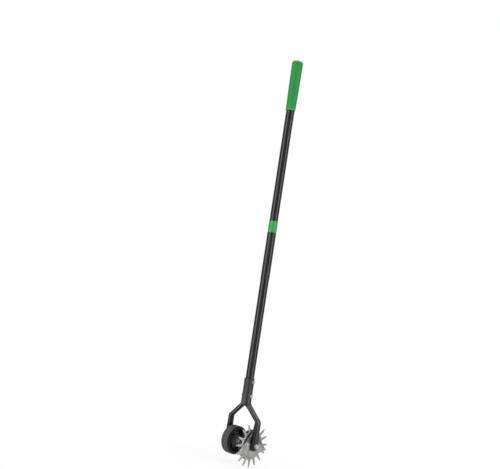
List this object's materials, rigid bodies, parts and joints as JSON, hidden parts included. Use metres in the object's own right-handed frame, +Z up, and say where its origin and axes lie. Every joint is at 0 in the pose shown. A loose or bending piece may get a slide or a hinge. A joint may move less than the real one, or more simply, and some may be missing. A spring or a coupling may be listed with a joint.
{
  "type": "rotary lawn edger",
  "caption": "Long handled rotary lawn edger: a pressed steel fork holds a rubber tyred wheel that turns a star of cutting tines behind a fixed shear plate.",
  "frame": {"origin": "middle of the hand's place on the grip, 87.5 mm below its top, on the handle's axis", "axes": "+Z up along the handle from the wheels to the grip; +X along the axle towards the star wheel; +Y across both"},
  "size_m": [0.16, 0.152, 1.4355],
  "materials": {
    "handle_fibreglass": "glossy near-black pultruded fibreglass",
    "core_wood": "plain turned wood",
    "grip_green": "smooth green moulded sleeve with a soft sheen",
    "label_film": "satin black film",
    "label_green": "satin green film",
    "black_paint": "satin black paint on pressed steel",
    "zinc_steel": "bright zinc plating",
    "blade_steel": "bare rolled steel with fine grinding marks",
    "tyre_rubber": "dull black rubber",
    "hub_plastic": "moulded black plastic",
    "nylon": "dark grey nylon"
  },
  "bodies": {
    "frame": {"handle_tube": "handle_fibreglass", "handle_core": "core_wood", "grip": "grip_green", "label_sleeve": "label_film", "label_band": "label_green", "fork_half_left": "black_paint", "fork_half_right": "black_paint", "socket_bolt_lower": "zinc_steel", "socket_bolt_upper": "zinc_steel", "socket_nut_lower": "zinc_steel", "socket_nut_upper": "zinc_steel", "axle_bolt": "zinc_steel", "axle_nut": "zinc_steel", "axle_washer_left": "zinc_steel", "axle_washer_right": "zinc_steel", "wheel_spacer": "nylon", "plate_spacer": "zinc_steel", "shear_plate": "blade_steel"},
    "rotor": {"tyre": "tyre_rubber", "wheel_hub": "hub_plastic", "drive_sleeve": "black_paint", "bush_left": "nylon", "bush_right": "nylon", "drive_flange": "black_paint", "star_wheel": "blade_steel", "star_rivet_1": "zinc_steel", "star_rivet_2": "zinc_steel", "star_rivet_3": "zinc_steel", "star_rivet_4": "zinc_steel"}
  },
  "joints": [
    {"name": "rotor_spin", "type": "hinge", "parent": "frame", "child": "rotor", "pos_m": [0, 0, -1.272], "axis": [1, 0, 0], "continuous": true}
  ]
}
